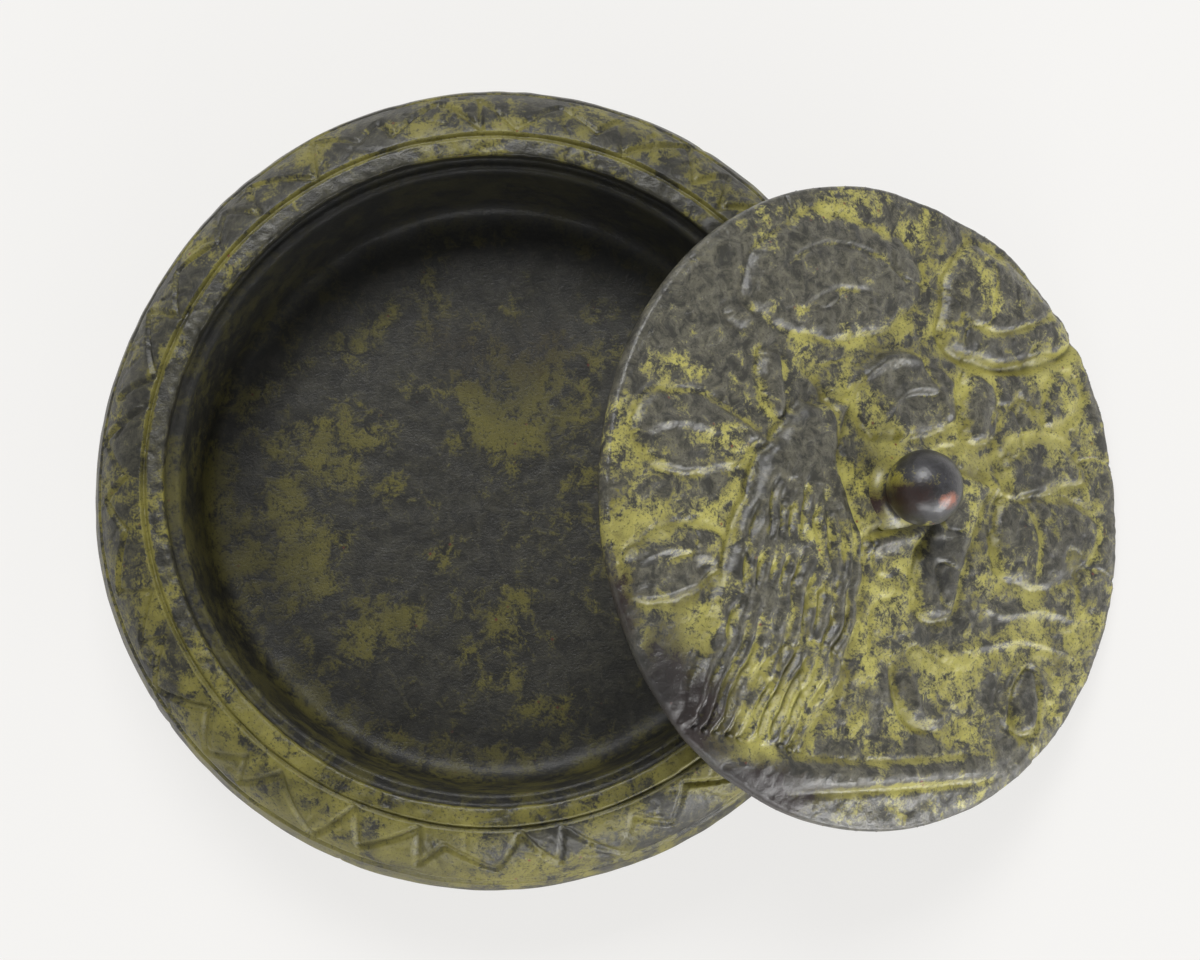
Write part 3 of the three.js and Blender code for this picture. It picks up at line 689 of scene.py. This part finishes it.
for half_width, sink, path in cut_lines:
    cuts = np.maximum(cuts, stroke(path, half_width, sink))
plants -= cuts
plants -= groove_depth * grooved_round
tool_marks = (fade(mottle(loose_x, loose_y, cell=5.5, seed=48), tool_half_width)
              * smooth(-0.2, 0.3, mottle(lid_x, lid_y, cell=8.0, seed=49)))
plants -= tool_depth * tool_marks
off_centre = np.hypot(lid_x, lid_y) / lid_radius
to_knob = np.hypot(lid_x - knob_place[0], lid_y - knob_place[1])
clear_of_knob = smooth(foot_radius - clear_inside, foot_radius + clear_outside, to_knob)
plants *= clear_of_knob * (1 - left_at_knob) + left_at_knob
wear = (0.17 * mottle(lid_x, lid_y, cell=3.6, seed=41) + 0.1 * mottle(lid_x, lid_y, cell=1.5, seed=42)
        + 0.08 * mottle(lid_x, lid_y, cell=0.75, seed=43))
rolled = edge_drop * smooth(edge_drop_start, 1.0, off_centre) ** 2
crowned = lid_edge + lid_crown * (1 - off_centre**2) - rolled
lid_z = crowned + plants + wear * smooth(0, 1.5, to_knob - foot_radius + 0.5)
face_points = np.stack([lid_x, lid_y, lid_z], axis=-1).reshape(-1, 3)

# The edge goes on from the face's rim over its round, down the side and in under the disc:
# how far out each row stands, and for the side's rows their share of its height.
grid = np.arange((cells + 1) ** 2).reshape(cells + 1, cells + 1)
lid_faces = np.stack([grid[:-1, :-1], grid[1:, :-1], grid[1:, 1:], grid[:-1, 1:]], axis=-1)
lid_faces = lid_faces.reshape(-1, 4).tolist()
loop = np.concatenate([grid[-1, :-1], grid[:0:-1, -1], grid[0, :0:-1], grid[:-1, 0]])
rim_points = face_points[loop]
rim_out = rim_points[:, :2] / np.linalg.norm(rim_points[:, :2], axis=1)[:, None]
side_top = rim_points[:, 2] - lid_round
side_rows = [(lid_round, 0.66), (lid_round, 0.33), (lid_round * 0.95, 0.12), (lid_round * 0.5, 0.0),
             (-6.0, 0.0), (-20.0, 0.0)]
edge_rows = [(lid_round * math.sin(a), rim_points[:, 2] - lid_round * (1 - math.cos(a)))
             for a in np.linspace(0, math.pi / 2, 6)[1:]]
edge_rows += [(out, side_top * share) for out, share in side_rows]
lid_points = face_points
ring = loop
for out, heights in edge_rows:
    next_ring = np.arange(len(loop)) + len(lid_points)
    lid_points = np.concatenate([lid_points, np.column_stack([rim_points[:, :2] + rim_out * out, heights])])
    lid_faces += np.stack([ring, next_ring, np.roll(next_ring, -1), np.roll(ring, -1)], axis=-1).tolist()
    ring = next_ring
middle_index = len(lid_points)
lid_points = np.concatenate([lid_points, np.zeros((1, 3))])
lid_faces += [[a, middle_index, b] for a, b in zip(ring.tolist(), np.roll(ring, -1).tolist())]

# Patina on the lid: yellow lies in every hollow and in patches at the right and the left
# edge, a dark brown stain covers the lower left, and the high forms are rubbed graphite.
face_x, face_y = lid_points[:, 0], lid_points[:, 1]
raised_share = np.clip(plants.ravel() / 1.3, 0, 1)
lines = np.maximum.reduce([flutes, np.clip(cuts / 0.6, 0, 1), 0.5 * grooved_round, 0.5 * tool_marks])
hollow = np.zeros(len(lid_points))
hollow[:len(face_points)] = 0.2 * (1 - raised_share) + 0.6 * lines.ravel() - 0.1 * raised_share
soft_cloud = (0.5 * mottle(face_x, face_y, cell=5.0, seed=61)
              + 0.3 * mottle(face_x, face_y, cell=2.0, seed=62))
yellow = patch(face_x, face_y, [
    (-41, -5, 4, 5, 0.8), (-31, -20, 4, 7, 0.7), (30, -18, 9, 6, 0.8), (14, -21, 7, 6, 0.5),
    (22, 24, 12, 3, 0.7), (-22, -3, 6, 4, 0.4), (34, 8, 5, 8, 0.45), (12, 8, 5, 4, 0.5), (28, -29, 8, 5, 0.5),
    (-33, 6, 8, 3, 0.6), (-17, -24, 9, 8, 0.8), (-10, -8, 4, 9, 0.6), (22, 31, 10, 5, 0.9),
    (-33, -9, 6, 3, 0.6), (5, 24, 6, 3, 0.5), (-2, 9, 3, 6, 0.9)])
smooth_grey = patch(face_x, face_y, [(-26, 26, 13, 11, 1.0), (-8, 31, 12, 7, 0.8), (-16, 8, 5, 6, 0.7)])
brown_stain = patch(face_x, face_y, [(-33, -28, 8, 9, 1.0), (-22, -38, 12, 4, 0.9), (-41, -16, 3, 8, 0.6)])
# Dark patches: the stones, the drooping limb and the lower left rim are painted dark. Painted shade darkens
# the slit under the knob, the groove under the upper bough, the hollow inside the shoot and the hollow beside
# the curved cut low in the middle.
dark_paint_and_shade = patch(face_x, face_y, [
    (29, -5, 9, 5, 0.6), (27, 6, 6, 3, 0.5), (-36, -26, 7, 9, 0.75), (-24, -37, 10, 4, 0.6),
    (9, -8, 3.5, 8, 0.6), (22, 22.5, 9, 2, 0.4), (24.5, -26, 2, 4, 0.6), (2, -2.6, 5, 1.2, 0.8),
    (4, -24, 3, 4, 0.4)])
lid_marks = {
    "olive": np.clip(0.17 + hollow + 0.34 * yellow + 0.22 * soft_cloud - 0.4 * smooth_grey, 0, 1),
    "brown": np.clip(0.1 + brown_stain + 0.25 * soft_cloud - 0.2 * smooth_grey, 0, 1),
    "shade": np.clip(dark_paint_and_shade * (0.8 + soft_cloud), 0, 0.75),
}
lid = make_piece("lid_relief_disc", placed(lid_points, lid_origin), lid_faces, lid_marks)
lid_clay = waxed_bronzed_clay(
    "waxed_bronzed_clay_lid", graphite=("#2c2b23", "#625f50"), olives=("#67612b", "#a49e51"),
    stain="#21130f", grain_bump=0.6, daub_bump=0.35, wax=0.6)
lid.data.materials.append(lid_clay)
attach(lid, "lid")
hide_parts("lid")

# Grit. Coarse sand in the clay stands out of the lid all over in tiny waxed grains, which
# catch the light. A rule strews them, and each takes the patina of the place where it sits.
grit_tree = bpy.data.node_groups.new("strewn_grit", "GeometryNodeTree")
for label, kind in (("Surface", "NodeSocketGeometry"), ("Grain radius", "NodeSocketFloat"),
                    ("Grains per square metre", "NodeSocketFloat"), ("Clay", "NodeSocketMaterial")):
    grit_tree.interface.new_socket(label, in_out="INPUT", socket_type=kind)
grit_tree.interface.new_socket("Grit", in_out="OUTPUT", socket_type="NodeSocketGeometry")
given = add_node(grit_tree, "NodeGroupInput").outputs
strewn = add_node(grit_tree, "GeometryNodeDistributePointsOnFaces", {
    "Mesh": given["Surface"], "Density": given["Grains per square metre"], "Seed": 17})
grain_ball = add_node(grit_tree, "GeometryNodeMeshIcoSphere", {
    "Radius": given["Grain radius"], "Subdivisions": 1})
odd_shape = add_node(grit_tree, "FunctionNodeRandomValue", {
    "Min": (0.5, 0.5, 0.3), "Max": (1.3, 1.3, 0.8), "Seed": 5}, data_type="FLOAT_VECTOR")
grains = add_node(grit_tree, "GeometryNodeInstanceOnPoints", {
    "Points": strewn.outputs["Points"], "Instance": grain_ball.outputs["Mesh"],
    "Rotation": strewn.outputs["Rotation"], "Scale": odd_shape.outputs["Value"]})
fused = add_node(grit_tree, "GeometryNodeRealizeInstances", {"Geometry": grains.outputs["Instances"]})
coated = add_node(grit_tree, "GeometryNodeSetMaterial", {
    "Geometry": fused.outputs["Geometry"], "Material": given["Clay"]})
add_node(grit_tree, "NodeGroupOutput", {"Grit": coated.outputs["Geometry"]})

strewing = lid.modifiers.new("strewn_grit", "NODES")
strewing.node_group = grit_tree
chosen = {"Grain radius": 0.13 * MM, "Grains per square metre": 240000.0, "Clay": lid_clay}
for socket in grit_tree.interface.items_tree:
    if socket.in_out == "INPUT" and socket.name in chosen:
        strewing[socket.identifier] = chosen[socket.name]
evaluated = lid.evaluated_get(bpy.context.evaluated_depsgraph_get())
grit_mesh = bpy.data.meshes.new_from_object(evaluated)
lid.modifiers.remove(strewing)
grit_mesh.name = "lid_grit"
grit = bpy.data.objects.new("lid_grit", grit_mesh)
bpy.context.scene.collection.objects.link(grit)
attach(grit, "lid")

# Table and light. A sheet of matt white paper on a table, a large soft lamp high behind the
# object, two low strips in front that draw the white glints, and an even room that is dimmer
# straight overhead. The camera sees most of the paper at its own white, so shadows stay faint.
table_reach = 3.0
own_white = 0.8
table_corners = [(x * table_reach, y * table_reach, 0) for x, y in ((-1, -1), (1, -1), (1, 1), (-1, 1))]
table_mesh = bpy.data.meshes.new("table")
table_mesh.from_pydata(table_corners, [], [(0, 1, 2, 3)])
table = bpy.data.objects.new("table", table_mesh)
bpy.context.scene.collection.objects.link(table)
paper = bpy.data.materials.new("matt_white_paper")
paper.use_nodes = True
tree = paper.node_tree
tree.nodes.clear()
seen = add_node(tree, "ShaderNodeLightPath").outputs["Is Camera Ray"]
lit = add_node(tree, "ShaderNodeBsdfDiffuse", {"Color": linear("#ebe9e6")})
bare = add_node(tree, "ShaderNodeEmission", {"Color": linear("#f5f4f2"), "Strength": 1.0})
bare_share = add_node(tree, "ShaderNodeMath", {0: seen, 1: own_white}, operation="MULTIPLY")
sheet = add_node(tree, "ShaderNodeMixShader", {
    0: bare_share.outputs["Value"], 1: lit.outputs["BSDF"], 2: bare.outputs["Emission"]})
add_node(tree, "ShaderNodeOutputMaterial", {"Surface": sheet.outputs["Shader"]})
table_mesh.materials.append(paper)


def add_lamp(name, place, target, size, power):
    """A soft rectangular lamp that faces a target, in metres and watts."""
    lamp = bpy.data.lights.new(name, "AREA")
    lamp.shape = "RECTANGLE"
    lamp.size, lamp.size_y = size
    lamp.energy = power
    holder = bpy.data.objects.new(name, lamp)
    holder.location = place
    holder.rotation_euler = (Vector(target) - Vector(place)).to_track_quat("-Z", "Y").to_euler()
    bpy.context.scene.collection.objects.link(holder)


add_lamp("key_lamp", place=(-0.1, 0.5, 0.7), target=(0.01, 0, 0), size=(0.5, 0.35), power=5.8)
add_lamp("front_strip", place=(0.05, -0.62, 0.26), target=(0.02, 0, 0.01), size=(0.4, 0.1), power=1.5)
add_lamp("corner_strip", place=(0.56, -0.52, 0.13), target=(0.05, -0.02, 0.02), size=(0.5, 0.12), power=4.2)
low_strength, overhead_strength = 0.55, 0.12
dims_from, dims_to = 0.55, 0.95
room = bpy.data.worlds.new("even_room")
room.use_nodes = True
room_tree = room.node_tree
backdrop = room_tree.nodes["Background"].inputs
backdrop["Color"].default_value = linear("#f2f3f5")
way_out = add_node(room_tree, "ShaderNodeTexCoord").outputs["Generated"]
way_up = add_node(room_tree, "ShaderNodeSeparateXYZ", {"Vector": way_out}).outputs["Z"]
overhead = add_node(room_tree, "ShaderNodeMapRange", {
    "Value": way_up, "From Min": dims_from, "From Max": dims_to,
    "To Min": low_strength, "To Max": overhead_strength})
room_tree.links.new(overhead.outputs["Result"], backdrop["Strength"])
bpy.context.scene.world = room

# The camera looks down from where the photograph was taken, its place worked out from the
# outlines of the bowl, the mouth, the lid and the knob.
camera_tilt = 6.1
camera = bpy.data.cameras.new("camera")
camera.sensor_width = 36.0
camera.lens = 76.5
viewer = bpy.data.objects.new("camera", camera)
viewer.location = (0.0144, -0.0366, 0.3624)
viewer.rotation_euler = (math.radians(camera_tilt), 0, 0)
bpy.context.scene.collection.objects.link(viewer)
bpy.context.scene.camera = viewer
bpy.context.scene.view_settings.view_transform = "Standard"
